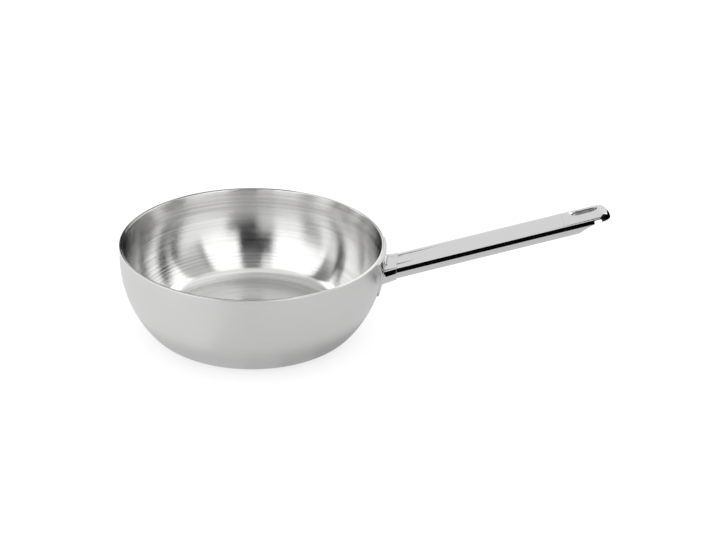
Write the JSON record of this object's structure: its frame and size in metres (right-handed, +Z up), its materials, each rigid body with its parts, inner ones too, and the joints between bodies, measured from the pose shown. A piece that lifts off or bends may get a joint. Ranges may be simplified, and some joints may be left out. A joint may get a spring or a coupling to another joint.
{
  "type": "saucier pan",
  "caption": "Round-sided stainless steel saucier pan with a flat base, a sealed multi-ply wall and a rising tube handle on a welded T-shaped plate, ending in a slotted hanging eye.",
  "frame": {"origin": "centre of the flat base, on the surface that the pan stands on", "axes": "+Z up, +X along the handle as seen from above, +Y to complete a right-handed frame"},
  "size_m": [0.4475, 0.246, 0.1444],
  "materials": {
    "liner_steel": "brushed round the bowl in fine rings, semi-bright",
    "skin_steel": "fine matt satin, slightly pearly",
    "bonding_aluminium": "plain rolled sheet, hidden",
    "core_aluminium": "plain rolled sheet, hidden",
    "handle_steel": "mirror polished stainless steel"
  },
  "bodies": {
    "root": {"cooking_liner": "liner_steel", "upper_aluminium_ply": "bonding_aluminium", "core_alloy_ply": "core_aluminium", "lower_aluminium_ply": "bonding_aluminium", "outer_skin": "skin_steel", "handle_plate": "handle_steel", "handle_neck": "handle_steel", "handle_tube": "handle_steel", "handle_end": "handle_steel"}
  },
  "joints": []
}
